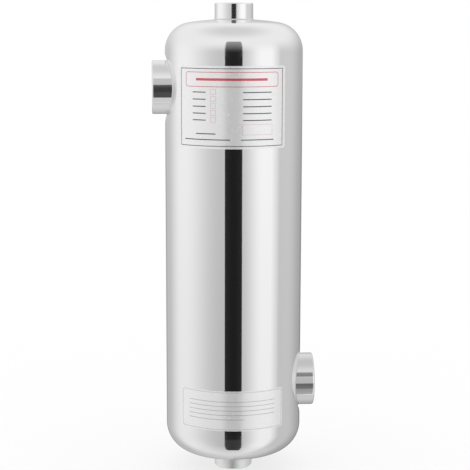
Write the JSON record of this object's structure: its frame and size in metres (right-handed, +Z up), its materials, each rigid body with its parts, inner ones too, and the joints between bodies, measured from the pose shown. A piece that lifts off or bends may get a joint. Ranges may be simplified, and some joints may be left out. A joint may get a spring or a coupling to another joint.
{
  "type": "pool heat exchanger",
  "caption": "Upright stainless shell-and-tube heat exchanger with dished heads, threaded heating sockets at both ends and wider threaded pool sockets on opposite sides.",
  "frame": {"origin": "centre of the bottom heating socket's face, which is the lowest point of the vessel", "axes": "+Z up along the shell's axis, +X through the lower pool socket, -X through the upper pool socket, -Y towards the side that carries the label"},
  "size_m": [0.166, 0.1396, 0.4826],
  "materials": {
    "shell_steel": "polished",
    "socket_steel": "gloss",
    "weld_metal": "satin",
    "plate_steel": "satin",
    "tube_steel": "satin",
    "label_film": "satin"
  },
  "bodies": {
    "root": {"shell": "shell_steel", "top_cap": "shell_steel", "bottom_cap": "shell_steel", "top_heating_socket": "socket_steel", "bottom_heating_socket": "socket_steel", "upper_pool_socket": "socket_steel", "lower_pool_socket": "socket_steel", "top_socket_weld": "weld_metal", "bottom_socket_weld": "weld_metal", "upper_pool_weld": "weld_metal", "lower_pool_weld": "weld_metal", "top_tube_sheet": "plate_steel", "bottom_tube_sheet": "plate_steel", "baffle_1": "plate_steel", "baffle_2": "plate_steel", "baffle_3": "plate_steel", "tube_01": "tube_steel", "tube_02": "tube_steel", "tube_03": "tube_steel", "tube_04": "tube_steel", "tube_05": "tube_steel", "tube_06": "tube_steel", "tube_07": "tube_steel", "tube_08": "tube_steel", "tube_09": "tube_steel", "tube_10": "tube_steel", "tube_11": "tube_steel", "tube_12": "tube_steel", "tube_13": "tube_steel", "tube_14": "tube_steel", "tube_15": "tube_steel", "tube_16": "tube_steel", "tube_17": "tube_steel", "tube_18": "tube_steel", "tube_19": "tube_steel"}
  },
  "joints": []
}
